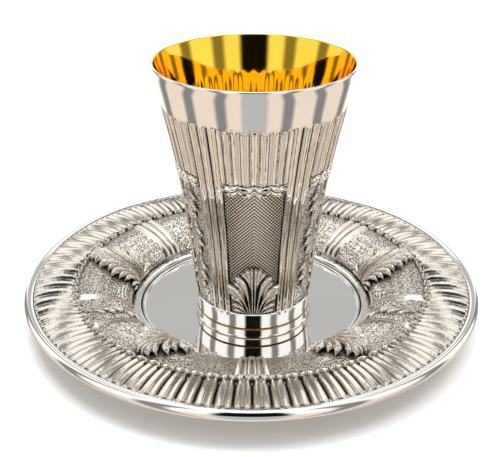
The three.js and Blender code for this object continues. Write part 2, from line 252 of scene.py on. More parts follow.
def add_node(tree, kind, settings=None, inputs=None):
    """Adds a node, sets its properties, and sets or links its inputs."""
    node = tree.nodes.new(kind)
    for key, value in (settings or {}).items():
        setattr(node, key, value)
    for key, value in (inputs or {}).items():
        if isinstance(value, bpy.types.NodeSocket):
            tree.links.new(value, node.inputs[key])
        else:
            node.inputs[key].default_value = value
    return node


def new_metal(name, roughness):
    material = bpy.data.materials.new(name)
    material.use_nodes = True
    shader = material.node_tree.nodes["Principled BSDF"]
    shader.inputs["Metallic"].default_value = 1.0
    shader.inputs["Roughness"].default_value = roughness
    return material, material.node_tree, shader


def wipe_marks(tree, place, low, high):
    """Roughness that varies as polishing cloth leaves it: long faint smears about 6 mm across."""
    stretched = add_node(tree, "ShaderNodeMapping", None, {"Vector": place, "Scale": (1.0, 1.0, 0.35)})
    smears = add_node(tree, "ShaderNodeTexNoise", None,
                      {"Vector": stretched.outputs[0], "Scale": 1 / (6 * MM), "Detail": 4.0})
    return add_node(tree, "ShaderNodeMapRange", None,
                    {"Value": smears.outputs["Fac"], "To Min": low, "To Max": high}).outputs[0]


SILVER = "#fbf7f0"
SILVER_TARNISHED = "#ebe0d0"      # a thin warm film that polish missed
SULPHIDE_AND_SHADE = "#17120d"                 # sulphide left in the hollows, with painted shade where the metal is low or closed in
GILDING_WORN = "#8f6a2c"


def mirror_metal(name, first, second, patch, low, high):
    """A buffed mirror whose tone drifts a little over patches of a given size in mm."""
    material, tree, shader = new_metal(name, low)
    place = add_node(tree, "ShaderNodeTexCoord").outputs["Object"]
    tone = add_node(tree, "ShaderNodeTexNoise", None,
                    {"Vector": place, "Scale": 1 / (patch * MM), "Detail": 2.0}).outputs["Fac"]
    tint = add_node(tree, "ShaderNodeMix", {"data_type": "RGBA"},
                    {0: tone, 6: linear(first), 7: linear(second)}).outputs[2]
    tree.links.new(tint, shader.inputs["Base Color"])
    tree.links.new(wipe_marks(tree, place, low, high), shader.inputs["Roughness"])
    return material


def polished_silver():
    """Sterling silver buffed to a mirror: the well, the plain bands, the foot and the rolled edge.
    Faint smears in the polish keep the reflections from being quite perfect."""
    return mirror_metal("polished_silver", "#f9f7f4", "#f1eeea", 30, 0.02, 0.06)


def mirror_gilding():
    """Fine gold plate over polished silver, inside the cup: a deep yellow mirror."""
    return mirror_metal("mirror_gilding", "#ffd650", "#fac93f", 12, 0.03, 0.09)


def worn_gilding():
    """The thin line of gold left along the soldered joint and the foot's edge: brown and dull."""
    return mirror_metal("worn_gilding", "#b98a42", GILDING_WORN, 3, 0.18, 0.32)


def groove_shade_silver():
    """The turned grooves beside the well's mouldings, painted near black: painted shade in the grooves."""
    return mirror_metal("groove_shade_silver", "#3a332b", SULPHIDE_AND_SHADE, 5, 0.25, 0.4)


def worked_silver(name, polished, dull, reach=0.0, shut=0.0, clear=1.0):
    """Cast and chased silver, bright on its high places, with its hollows painted dark, partly as sulphide
    and partly as painted shade: where the vertices are marked as low, and, with a reach, where little open
    air is near."""
    material, tree, shader = new_metal(name, polished)
    place = add_node(tree, "ShaderNodeTexCoord").outputs["Object"]
    polish_and_light = add_node(tree, "ShaderNodeAttribute", {"attribute_name": "lit_and_polished"}).outputs["Fac"]
    # Occlusion within the reach darkens the colour: painted shade in crevices, under lifted tips and beside
    # raised work.
    if reach:
        air = add_node(tree, "ShaderNodeAmbientOcclusion", {"samples": 6}, {"Distance": reach})
        spread = add_node(tree, "ShaderNodeMapRange", None,
                          {"Value": air.outputs["AO"], "From Min": shut, "From Max": clear})
        polish_and_light = add_node(tree, "ShaderNodeMath", {"operation": "MULTIPLY"},
                         {0: spread.outputs[0], 1: polish_and_light}).outputs[0]
    else:
        polish_and_light = add_node(tree, "ShaderNodeMapRange", None,
                         {"Value": polish_and_light, "From Min": 0.2, "From Max": 0.7}).outputs[0]
    tone = add_node(tree, "ShaderNodeTexNoise", None,
                    {"Vector": place, "Scale": 1 / (3 * MM), "Detail": 3.0}).outputs["Fac"]
    metal = add_node(tree, "ShaderNodeMix", {"data_type": "RGBA"},
                     {0: tone, 6: linear(SILVER), 7: linear(SILVER_TARNISHED)}).outputs[2]
    # Mixes towards the dark colour where the metal is marked low or closed in: sulphide with painted shade.
    colour = add_node(tree, "ShaderNodeMix", {"data_type": "RGBA"},
                      {0: polish_and_light, 6: linear(SULPHIDE_AND_SHADE), 7: metal}).outputs[2]
    rough = add_node(tree, "ShaderNodeMapRange", None,
                     {"Value": polish_and_light, "To Min": dull, "To Max": polished}).outputs[0]
    tree.links.new(colour, shader.inputs["Base Color"])
    tree.links.new(rough, shader.inputs["Roughness"])
    return material, tree, shader, place, colour


def press_pattern(tree, shader, colour, relief, shaded, dark, depth):
    """Presses a pattern into the metal: its low places are pushed in by depth and painted dark, partly as the
    sulphide in them and partly as painted shade.
    """
    tint = add_node(tree, "ShaderNodeMix", {"data_type": "RGBA"},
                    {0: shaded, 6: linear(dark), 7: colour}).outputs[2]
    bump = add_node(tree, "ShaderNodeBump", None, {"Height": relief, "Distance": depth, "Strength": 1.0})
    tree.links.new(tint, shader.inputs["Base Color"])
    tree.links.new(bump.outputs[0], shader.inputs["Normal"])


def chased_silver():
    """Leaves and husks: cast, then chased and polished, with a fine pitted grain about
    0.5 mm apart from the casting."""
    # Its reach darkens the crevices between the lobes and the undersides of their lifted tips: painted shade.
    material, tree, shader, place, colour = worked_silver("chased_silver", 0.2, 0.45, 1.1 * MM, 0.25, 0.75)
    grain = add_node(tree, "ShaderNodeTexVoronoi", {"feature": "F1"},
                     {"Vector": place, "Scale": 1 / (0.55 * MM), "Randomness": 1.0}).outputs["Distance"]
    shaded = add_node(tree, "ShaderNodeMapRange", {"interpolation_type": "SMOOTHSTEP"},
                      {"Value": grain, "From Min": 0.1, "From Max": 0.4, "To Min": 0.25}).outputs[0]
    press_pattern(tree, shader, colour, grain, shaded, "#6d5d4a", 0.12 * MM)
    return material


def planished_silver(name, facet, depth, stretch, polished, reach):
    """Struck and hammered silver, bright, each rib or reed an uneven mirror; facets are facet mm wide,
    depth mm deep and stretched upwards."""
    # With a reach, occlusion darkens its grooves: painted shade; without, the vertices marked low are
    # darkened: painted shade with sulphide.
    material, tree, shader, place, _ = worked_silver(name, polished, 0.3, reach, 0.35, 0.92)
    along = add_node(tree, "ShaderNodeMapping", None, {"Vector": place, "Scale": (1, 1, stretch)}).outputs[0]
    ripple = add_node(tree, "ShaderNodeTexNoise", None,
                      {"Vector": along, "Scale": 1 / (facet * MM), "Detail": 1.0}).outputs["Fac"]
    bump = add_node(tree, "ShaderNodeBump", None, {"Height": ripple, "Distance": depth * MM, "Strength": 1.0})
    tree.links.new(bump.outputs[0], shader.inputs["Normal"])
    return material


def ribbed_silver():
    """The beaker's ribs, flutes and rolls, finished with a small hammer."""
    return planished_silver("ribbed_silver", 1.5, 0.12, 0.3, 0.05, 0.0)


def fluted_silver():
    """The saucer's flutes and ribs, struck in a die: smoother."""
    # Its 1 mm reach darkens the grooves between the flutes and beside the ribs: painted shade.
    return planished_silver("fluted_silver", 1.6, 0.05, 1.0, 0.17, 1.0 * MM)


STIPPLE_PITCH = 0.74              # mm, between punch marks


def stippled_silver():
    """The sunk ground round the ornament, matted with a round punch, its pits dark and its crests
    bright."""
    # Its reach darkens the ground beside the leaves, husks and ribs: painted shade.
    material, tree, shader, place, colour = worked_silver("stippled_silver", 0.2, 0.5, 2.4 * MM, 0.45, 0.9)
    dots = add_node(tree, "ShaderNodeTexVoronoi", {"feature": "F1"},
                    {"Vector": place, "Scale": 1 / (STIPPLE_PITCH * MM), "Randomness": 0.7})
    relief = add_node(tree, "ShaderNodeMapRange", {"interpolation_type": "SMOOTHSTEP"},
                      {"Value": dots.outputs["Distance"], "From Min": 0.15, "From Max": 0.6}).outputs[0]
    shaded = add_node(tree, "ShaderNodeMapRange", None,
                      {"Value": relief, "From Min": 0.1, "From Max": 0.95}).outputs[0]
    press_pattern(tree, shader, colour, relief, shaded, "#2f261d", 0.2 * MM)
    return material


HATCH_PITCH = 0.88                # mm, between engraved lines


def hatched_silver():
    """The wide panels' fields, engraved with chevrons that point up, broken into dashes by fainter lines that
    cross them, more so towards the field's edges."""
    # Its reach darkens the field beside the leaves, husks and valance: painted shade.
    material, tree, shader, place, colour = worked_silver("hatched_silver", 0.18, 0.5, 2.0 * MM, 0.2, 0.65)
    across = add_node(tree, "ShaderNodeAttribute", {"attribute_name": "across_mm"}).outputs["Fac"]
    height = add_node(tree, "ShaderNodeAttribute", {"attribute_name": "height_mm"}).outputs["Fac"]
    side = add_node(tree, "ShaderNodeMath", {"operation": "ABSOLUTE"}, {0: across}).outputs[0]
    rate = TAU / HATCH_PITCH / math.sqrt(2)
    waves = []
    for joined in ("ADD", "SUBTRACT"):
        level = add_node(tree, "ShaderNodeMath", {"operation": joined}, {0: height, 1: side}).outputs[0]
        phase = add_node(tree, "ShaderNodeMath", {"operation": "MULTIPLY"}, {0: level, 1: rate}).outputs[0]
        wave = add_node(tree, "ShaderNodeMath", {"operation": "SINE"}, {0: phase}).outputs[0]
        waves.append(add_node(tree, "ShaderNodeMath", {"operation": "MULTIPLY_ADD"},
                              {0: wave, 1: 0.5, 2: 0.5}).outputs[0])
    product = add_node(tree, "ShaderNodeMath", {"operation": "MULTIPLY"},
                       {0: waves[0], 1: waves[1]}).outputs[0]
    edge = add_node(tree, "ShaderNodeMapRange", None,
                    {"Value": side, "From Min": 1.0, "From Max": 7.0,
                     "To Min": 0.45, "To Max": 0.9}).outputs[0]
    relief = add_node(tree, "ShaderNodeMix", {"data_type": "FLOAT"},
                      {0: edge, 2: waves[0], 3: product}).outputs[0]
    shaded = add_node(tree, "ShaderNodeMapRange", {"interpolation_type": "SMOOTHSTEP"},
                      {"Value": relief, "From Min": 0.08, "From Max": 0.5}).outputs[0]
    press_pattern(tree, shader, colour, relief, shaded, "#5d4d3b", 0.2 * MM)
    return material


def pale_floor():
    """A white studio table with the faintest grain."""
    material = bpy.data.materials.new("white_table")
    material.use_nodes = True
    tree = material.node_tree
    shader = tree.nodes["Principled BSDF"]
    shader.inputs["Roughness"].default_value = 0.7
    place = add_node(tree, "ShaderNodeTexCoord").outputs["Object"]
    grain = add_node(tree, "ShaderNodeTexNoise", None, {"Vector": place, "Scale": 40.0, "Detail": 2.0})
    tint = add_node(tree, "ShaderNodeMix", {"data_type": "RGBA"},
                    {0: grain.outputs["Fac"], 6: linear("#f4f4f3"), 7: linear("#f7f7f6")}).outputs[2]
    tree.links.new(tint, shader.inputs["Base Color"])
    return material


POLISHED = polished_silver()
GILDING = mirror_gilding()
CHASED = chased_silver()
RIBBED = ribbed_silver()
FLUTED = fluted_silver()
STIPPLED = stippled_silver()
HATCHED = hatched_silver()
SEAM = worn_gilding()
GROOVE_SHADE = groove_shade_silver()


def paint_faces(obj, materials, pick):
    """Gives each face one of the materials; pick turns the faces' middles into material numbers."""
    for material in materials:
        obj.data.materials.append(material)
    count = len(obj.data.polygons)
    middles = np.empty(count * 3, np.float32)
    obj.data.polygons.foreach_get("center", middles)
    picked = pick(middles.reshape(-1, 3).astype(float))
    obj.data.polygons.foreach_set("material_index", picked.astype(np.int32))
    obj.data.update()


# ---- Leaves: fans of curved lobes ----

def lobe(tip, width, lift, start, bend=0.35):
    """A lobe's tip and the place beside the stem where it starts, both (across, along), how wide it is
    and how far its tip lifts, and what share of its way out it has gone near its tip."""
    return {"tip": tip, "width": width, "lift": lift, "start": start, "bend": bend}


def both(lobes):
    """A lobe on either side for each that isn't in the middle."""
    return lobes + [dict(one, tip=(-one["tip"][0], one["tip"][1]), start=(-one["start"][0], one["start"][1]))
                    for one in lobes]


# Sizes in mm, for a leaf 18.5 mm long.
LEAF_LOBES = both([
    lobe((7.0, 1.4), 1.3, 0.8, (2.3, 0.0), 0.4),
    lobe((7.3, 3.8), 1.6, 1.2, (2.0, 0.0), 0.4),
    lobe((7.4, 7.0), 1.7, 1.9, (3.2, 2.6), 0.3),
    lobe((8.2, 9.0), 1.7, 2.2, (3.6, 4.2), 0.3),
    lobe((8.7, 11.3), 2.1, 2.6, (1.5, 0.0), 0.42),
    lobe((5.0, 10.6), 1.3, 1.7, (2.6, 3.6), 0.3),
    lobe((6.3, 12.6), 1.8, 2.2, (2.5, 6.5), 0.3),
    lobe((6.1, 15.0), 2.1, 2.7, (1.0, 0.0), 0.2),
    lobe((3.9, 16.6), 1.7, 2.6, (1.1, 9.5), 0.1),
    lobe((2.5, 18.1), 1.8, 2.9, (0.9, 8.5), 0.1),
    lobe((0.8, 18.5), 1.5, 2.9, (0.35, 0.0), 0.2),
])
HUSK_LOBES = both([
    lobe((4.6, 5.2), 1.2, 0.9, (0.8, 0.0)),
    lobe((4.4, 9.0), 1.5, 1.1, (0.7, 1.0), 0.2),
    lobe((2.6, 12.2), 1.5, 1.1, (0.5, 4.0), 0.1),
    lobe((0.7, 13.4), 1.2, 1.2, (0.3, 0.0), 0.1),
])

LOBE_STEPS = 20                   # along a lobe
LOBE_SIDES = 7                    # across it
SINK = 0.35                       # mm that a lobe's edge is let into its ground


def lobe_mesh(shape, scale):
    """Vertices (across, along, out in mm) and faces of one lobe: a curved strip, wide near its tip,
    hollowed along its middle, with a scalloped end that lifts off the ground."""
    tip = np.array(shape["tip"]) * scale
    base = np.array(shape["start"]) * scale
    way = tip - base
    low = base + way * (0.1, 0.45)
    high = base + way * (shape["bend"], 0.95)
    width = shape["width"] * scale
    lift = shape["lift"] * scale
    vertices = []
    for i in range(LOBE_STEPS + 1):
        t = i / LOBE_STEPS
        centre = (1 - t) ** 3 * base + 3 * t * (1 - t) ** 2 * low + 3 * t * t * (1 - t) * high + t ** 3 * tip
        ahead = (1 - t) ** 2 * (low - base) + 2 * t * (1 - t) * (high - low) + t * t * (tip - high)
        ahead = ahead / (np.linalg.norm(ahead) + 1e-9)
        side = np.array((ahead[1], -ahead[0]))
        rising = min(max((t - 0.25) / 0.55, 0), 1)
        swell = 0.32 + 0.68 * rising * rising * (3 - 2 * rising)
        end = 1 - max(0.0, (t - 0.80) / 0.20) ** 1.7
        half = 0.5 * width * swell * end + 0.03
        rise = 0.55 * lift * math.sin(math.pi * t) ** 0.8 + 0.75 * lift * t ** 2
        height = 0.30 * min(lift, 1.4) + rise - 0.45 * lift * max(0.0, (t - 0.88) / 0.12) ** 2
        for j in range(LOBE_SIDES):
            s = -1 + 2 * j / (LOBE_SIDES - 1)
            ridge = 0.12 * (1 - abs(2 * abs(s) - 1)) * width
            edge_drop = (0.25 + 0.22 * lift) * abs(s) ** 2.5
            out = height + ridge * end - edge_drop
            place = centre + side * (half * s)
            vertices.append((place[0], place[1], out))
    top = len(vertices)
    for i in range(LOBE_STEPS + 1):
        for j in (0, LOBE_SIDES - 1):
            across, along, out = vertices[i * LOBE_SIDES + j]
            t = i / LOBE_STEPS
            thin = out - 0.4 if t > 0.6 else -SINK
            vertices.append((across, along, min(thin, out - 0.2)))
    faces = []
    for i in range(LOBE_STEPS):
        for j in range(LOBE_SIDES - 1):
            a = i * LOBE_SIDES + j
            faces.append((a, a + 1, a + LOBE_SIDES + 1, a + LOBE_SIDES))
        left, right = top + 2 * i, top + 2 * i + 1
        a, b = i * LOBE_SIDES, (i + 1) * LOBE_SIDES
        faces.append((a, b, left + 2, left))
        faces.append((b + LOBE_SIDES - 1, a + LOBE_SIDES - 1, right, right + 2))
        faces.append((left, left + 2, right + 2, right))
    last = LOBE_STEPS * LOBE_SIDES
    faces.append(tuple(range(LOBE_SIDES))[::-1] + (top, top + 1))
    faces.append(tuple(range(last, last + LOBE_SIDES)) + (top + 2 * LOBE_STEPS + 1, top + 2 * LOBE_STEPS))
    return vertices, faces


def mesh_piece(name, vertices, faces, material):
    """An object from points and faces, its faces turned outwards, tidy all over."""
    mesh = bpy.data.meshes.new(name)
    mesh.from_pydata(vertices, [], faces)
    obj = bpy.data.objects.new(name, mesh)
    bpy.context.scene.collection.objects.link(obj)
    deselect_all()
    obj.select_set(True)
    bpy.context.view_layer.objects.active = obj
    bpy.ops.object.mode_set(mode="EDIT")
    bpy.ops.mesh.select_all(action="SELECT")
    bpy.ops.mesh.normals_make_consistent(inside=False)
    bpy.ops.object.mode_set(mode="OBJECT")
    smooth(obj)
    mark(obj, "lit_and_polished", np.ones(len(vertices)))
    obj.data.materials.append(material)
    return obj


def leaf_piece(name, lobes, placements):
    """One object of leaves. Each placement is (scale, place), where place(across, along, out) in metres
    gives the point on the surface that carries the leaf."""
    vertices, faces = [], []
    for scale, place in placements:
        for shape in lobes:
            here, quads = lobe_mesh(shape, scale)
            start = len(vertices)
            vertices += [place(a * MM, b * MM, c * MM) for a, b, c in here]
            faces += [tuple(start + k for k in quad) for quad in quads]
    return mesh_piece(name, vertices, faces, CHASED)


# ---- Beaker ----

def wall_radius(height):
    t = (height - FLUTE_FOOT) / (FLUTE_TOP - FLUTE_FOOT)
    return FLUTE_FOOT_RADIUS + (FLUTE_TOP_RADIUS - FLUTE_FOOT_RADIUS) * t - 4 * WALL_SAG * t * (1 - t)


BEAKER_COLUMNS = 864
RIB_GROUP = PANEL_PITCH - WIDE_HALF - NARROW_HALF
RIB_WIDTH = RIB_GROUP / RIBS_PER_GROUP
RIB_CREST = 0.35 * MM
RIB_GROOVE = 0.8 * MM
RIB_VEIN = 0.2 * MM               # a fine groove beside each rib's crest
FLUTE_DEPTH = 0.7 * MM
REED_HEIGHT = 0.45 * MM
INNER_WAVE = 0.06 * MM            # how far the flutes show through inside
INNER_WAVES = 48
BAND_FLARE = 0.4 * MM             # how much wider the foot band is at its top


def beaker_profile():
    """Up the outside from the middle of the bottom, over the lip, and down the inside."""
    lip = CUP_HEIGHT - 0.5 * LIP_WALL
    outside = [(0, BEAKER_BOTTOM), (FOOT_BAND_RADIUS - 0.4 * MM, BEAKER_BOTTOM)]
    outside += [(FOOT_BAND_RADIUS, z) for z in (BEAKER_BOTTOM + 0.28 * MM, BEAKER_BOTTOM + 0.4 * MM)]
    outside += [(FOOT_BAND_RADIUS + BAND_FLARE * share, BEAKER_BOTTOM + 0.4 * MM + share * (
        FLUTE_FOOT - BEAKER_BOTTOM - 0.65 * MM)) for share in np.linspace(0, 1, 6)[1:]]
    heights = np.concatenate([
        [FLUTE_FOOT, FLUTE_FOOT + 0.25 * MM, FLUTE_FOOT + 0.6 * MM],
        np.linspace(FLUTE_FOOT + 1.4 * MM, 54 * MM, 15),
        np.linspace(55.5 * MM, 61.5 * MM, 21),
        np.linspace(63 * MM, 73.2 * MM, 6),
        np.linspace(74.2 * MM, FLUTE_TOP - 0.15 * MM, 14),
    ])
    outside += [(wall_radius(z), z) for z in heights]
    outside += [(FLUTE_TOP_RADIUS, FLUTE_TOP)]
    rise = np.linspace(0, 1, 6)[1:]
    outside += [(FLUTE_TOP_RADIUS + (LIP_RADIUS - 0.2 * MM - FLUTE_TOP_RADIUS) * t,
                 FLUTE_TOP + (lip - 0.5 * MM - FLUTE_TOP) * t) for t in rise]
    rounded = arc(LIP_RADIUS - 0.5 * LIP_WALL, lip, 0.5 * LIP_WALL, 0, 180, 9)
    inner_heights = np.concatenate([np.linspace(88 * MM, FLUTE_TOP, 5),
                                    np.linspace(76.5 * MM, 60 * MM, 8),
                                    np.linspace(56 * MM, FLUTE_FOOT, 9)])
    inside = [(inner_radius(z), z) for z in inner_heights]
    floor = [(16.4 * MM, INNER_FLOOR + 1.2 * MM), (15.2 * MM, INNER_FLOOR), (0, INNER_FLOOR)]
    return outside + rounded + inside + floor


def inner_radius(height):
    """The inside follows the wall, and the lip above the flutes."""
    rise = (height - FLUTE_TOP) / (CUP_HEIGHT - FLUTE_TOP)
    band = FLUTE_TOP_RADIUS + (LIP_RADIUS - FLUTE_TOP_RADIUS) * rise
    share = np.clip(rise, 0, 1)
    thickness = WALL_THICKNESS + (LIP_WALL - WALL_THICKNESS) * share
    return (band if height > FLUTE_TOP else wall_radius(height)) - thickness


def panel_place(azimuth):
    """For each azimuth: signed degrees from its panel's middle, that panel's half width, wide or not."""
    index = np.round(azimuth / PANEL_PITCH)
    wide = index % 2 == 0
    off = azimuth - index * PANEL_PITCH
    wide_reach = WIDE_HALF + RIB_GROUP / 2
    crossed = wide & (np.abs(off) > wide_reach)
    shifted = np.where(crossed, index + np.sign(off), index)
    crossed_back = ~wide & (np.abs(off) > PANEL_PITCH - wide_reach)
    shifted = np.where(crossed_back, index + np.sign(off), shifted)
    wide = shifted % 2 == 0
    return azimuth - shifted * PANEL_PITCH, np.where(wide, WIDE_HALF, NARROW_HALF), wide


def arch_depth(across, below_top, half):
    """0 at the edge of a channel with a round top, 1 on its middle line."""
    over = np.maximum(0, half - below_top)
    return np.clip((half - np.hypot(across, over)) / half, 0, 1)


def hang(share):
    """How low a scallop hangs, from 0 at its cusps to 1 in its middle."""
    return np.sin(math.pi * share) ** 0.75


def beaker_relief(azimuth, height):
    """How far the chasing stands off the plain wall, and how bright its colour is left: 0 in a groove painted
    dark, partly as sulphide and partly as painted shade, 1 where polish reaches."""
    off, half, _ = panel_place(azimuth)
    radius = wall_radius(height)
    beyond = np.abs(off) - half
    rib_place = (beyond / RIB_WIDTH) % 1.0
    from_crest = np.abs(2 * rib_place - 1)
    rib = RIB_CREST - 0.45 * MM * from_crest ** 2 - (RIB_GROOVE - 0.1 * MM) * ramp01(from_crest, 0.66, 0.97)
    rib -= RIB_VEIN * np.exp(-((rib_place - 0.74) / 0.05) ** 2)
    unit = 2 * half / FLUTES_PER_PANEL
    in_unit = ((off + half) / unit) % 1.0 - 0.5
    per_degree = np.radians(1) * radius
    below_top = FLUTE_TOP - 0.9 * MM - height
    channel = arch_depth(in_unit * unit * per_degree, below_top, 0.25 * unit * per_degree)
    from_edge = (0.5 - np.abs(in_unit)) * unit * per_degree
    reed = arch_depth(from_edge, below_top, 0.24 * unit * per_degree)
    flutes = REED_HEIGHT * np.sqrt(reed) - FLUTE_DEPTH * (1 - (1 - channel) ** 2)
    share = (off + half) / unit % 1.0
    above = height - (VALANCE_TOP - 1.3 * MM * hang(share))
    flute_end = ramp01(above + 0.9 * MM * (2 * np.abs(share - 0.5)) ** 2, 0.35 * MM, 0.95 * MM)
    gap = -0.7 * MM * (above < 0.6 * MM)
    field = -FIELD_DEPTH * np.ones_like(height)
    in_panel = np.where(above < -1.2 * MM, field, flutes * flute_end + gap * (1 - flute_end))
    relief = np.where(beyond > 0, rib, in_panel)
    ends = ramp01(height, FLUTE_FOOT - 0.1 * MM, FLUTE_FOOT + 0.35 * MM)
    ends = ends * ramp01(FLUTE_TOP - height, 0, 1.1 * MM)
    inside_zone = (height > FLUTE_FOOT - 0.1 * MM) & (height < FLUTE_TOP)
    # The colour is darkened in the ribs' grooves and fine veins, on the flutes' channel edges and in the gap
    # above the valance: painted shade, with sulphide.
    rib_polish_and_light = 1 - ramp01(from_crest, 0.7, 0.92)
    rib_polish_and_light *= 1 - 0.6 * np.exp(-((rib_place - 0.74) / 0.035) ** 2)
    side = np.abs(in_unit)
    flute_polish_and_light = 1 - 0.95 * np.exp(-((side - 0.255) / 0.028) ** 2)
    flute_polish_and_light *= 1 - ramp01(-above, -0.9 * MM, 0.2 * MM)
    polish_and_light = np.where(beyond > 0, rib_polish_and_light, np.where(above < -1.2 * MM, 1.0, flute_polish_and_light))
    return np.where(inside_zone, relief * ends, 0), np.where(inside_zone, 1 - (1 - polish_and_light) * ends, 1.0)


def make_beaker():
    centre = Vector((CUP_CENTRE.x, CUP_CENTRE.y, FOOT_Z))
    obj = spun_piece("beaker_silver", beaker_profile(), BEAKER_COLUMNS, centre)
    azimuth, radius, height = turned_places(obj, centre)
    outer = radius > wall_radius(height) - 0.5 * WALL_THICKNESS
    chasing, polish_and_light = beaker_relief(azimuth, height)
    relief = np.where(outer, chasing, 0)
    fluted_inside = ~outer & (height > FLUTE_FOOT + 1 * MM) & (height < FLUTE_TOP)
    inner_relief = INNER_WAVE * np.cos(np.radians(azimuth) * INNER_WAVES)
    inner_relief = inner_relief * ramp01(FLUTE_TOP - height, 0, 2.5 * MM) * ramp01(height, 10 * MM, 18 * MM)
    relief = np.where(fluted_inside, inner_relief, relief)
    put_turned(obj, centre, azimuth, radius + relief, height)
    off, _, _ = panel_place(azimuth)
    mark(obj, "across_mm", np.radians(off) * radius / MM)
    mark(obj, "height_mm", height / MM)
    # Marks the chasing's low places to be painted dark: sulphide with painted shade.
    mark(obj, "lit_and_polished", np.where(outer, polish_and_light, 1.0))

    def pick(middles):
        places = middles - np.array(centre)
        face_azimuth = np.degrees(np.arctan2(places[:, 0], -places[:, 1]))
        face_radius = np.hypot(places[:, 0], places[:, 1])
        face_height = places[:, 2]
        from_middle, half, wide = panel_place(face_azimuth)
        gilt = face_radius < wall_radius(face_height) - 0.55 * WALL_THICKNESS
        gilt &= face_height > INNER_FLOOR - 0.1 * MM
        gilt = gilt | ((face_height > FLUTE_TOP) & (face_radius < inner_edge(face_height)))
        worked = (face_height > FLUTE_FOOT) & (face_height < FLUTE_TOP) & ~gilt
        field = worked & (np.abs(from_middle) < half) & (face_height < VALANCE_TOP - 2 * MM)
        index = np.zeros(len(face_height))
        index[worked] = 2
        index[field & wide] = 3
        index[field & ~wide] = 4
        index[gilt] = 1
        index[~gilt & (face_height < BEAKER_BOTTOM + 0.3 * MM)] = 5
        return index

    paint_faces(obj, [POLISHED, GILDING, RIBBED, HATCHED, STIPPLED, SEAM], pick)
    smooth(obj)
    finish_piece(obj, "silver_gilt_inside", "beaker")


def inner_edge(height):
    """Radius of the middle of the plain band's wall, up to the lip."""
    slope = (LIP_RADIUS - FLUTE_TOP_RADIUS) / (CUP_HEIGHT - FLUTE_TOP)
    return FLUTE_TOP_RADIUS + slope * (height - FLUTE_TOP) - 0.62 * LIP_WALL


def on_beaker(azimuth, base_height, direction):
    def place(across, along, out):
        height = base_height + direction * along
        radius = wall_radius(height) - FIELD_DEPTH + out
        turn = math.radians(azimuth) + direction * across / wall_radius(height)
        x = CUP_CENTRE.x + radius * math.sin(turn)
        y = CUP_CENTRE.y - radius * math.cos(turn)
        return (x, y, FOOT_Z + height)
    return place


WIDE_PANELS = (0, 120, 240)
NARROW_PANELS = (60, 180, 300)
HUSK_TOPS = (54 * MM, 41 * MM, 28 * MM)


def make_beaker_leaves():
    placements = [(1.0, on_beaker(azimuth, FLUTE_FOOT + 0.1 * MM, 1)) for azimuth in WIDE_PANELS]
    obj = leaf_piece("beaker_leaves", LEAF_LOBES, placements)
    finish_piece(obj, "silver_gilt_inside")


def make_beaker_husks():
    placements = [(1.0, on_beaker(azimuth, top, -1)) for azimuth in NARROW_PANELS for top in HUSK_TOPS]
    obj = leaf_piece("beaker_husks", HUSK_LOBES, placements)
    finish_piece(obj, "silver_gilt_inside")


VALANCE_ROUND = 10
SCALLOP_STEPS = 14
# Of the upper and the lower roll: how far its cusps are below the valance's top, how far it hangs
# below them, and how thick it is.
VALANCE_ROLLS = [(0.7 * MM, 1.3 * MM, 0.95 * MM), (2.15 * MM, 1.7 * MM, 0.78 * MM)]


def make_valance():
    """Two scalloped rolls, one under the other, across the top of each panel's field."""
    vertices, faces = [], []
    for panel in range(PANELS):
        half = WIDE_HALF if panel % 2 == 0 else NARROW_HALF
        for roll in VALANCE_ROLLS:
            add_roll(vertices, faces, panel * PANEL_PITCH, half, roll)
    obj = mesh_piece("beaker_valance", vertices, faces, RIBBED)
    finish_piece(obj, "silver_gilt_inside")


def add_roll(vertices, faces, azimuth, half, roll):
    drop, dip, thick = roll
    steps = FLUTES_PER_PANEL * SCALLOP_STEPS
    start = len(vertices)
    for i in range(steps + 1):
        low = float(hang((i % SCALLOP_STEPS) / SCALLOP_STEPS))
        height = VALANCE_TOP - drop - dip * low
        turn = math.radians(azimuth - half + 2 * half * i / steps)
        fat = thick * (0.72 + 0.28 * low)
        base = wall_radius(height) - 0.1 * MM
        for k in range(VALANCE_ROUND):
            a = TAU * k / VALANCE_ROUND
            radius = base + 1.05 * fat * math.cos(a)
            z = FOOT_Z + height + fat * math.sin(a)
            vertices.append((CUP_CENTRE.x + radius * math.sin(turn),
                             CUP_CENTRE.y - radius * math.cos(turn), z))
    for i in range(steps):
        for k in range(VALANCE_ROUND):
            a = start + i * VALANCE_ROUND + k
            b = start + i * VALANCE_ROUND + (k + 1) % VALANCE_ROUND
            faces.append((a, b, b + VALANCE_ROUND, a + VALANCE_ROUND))
    end = start + steps * VALANCE_ROUND
    faces.append(tuple(range(start, start + VALANCE_ROUND)))
    faces.append(tuple(range(end, end + VALANCE_ROUND))[::-1])


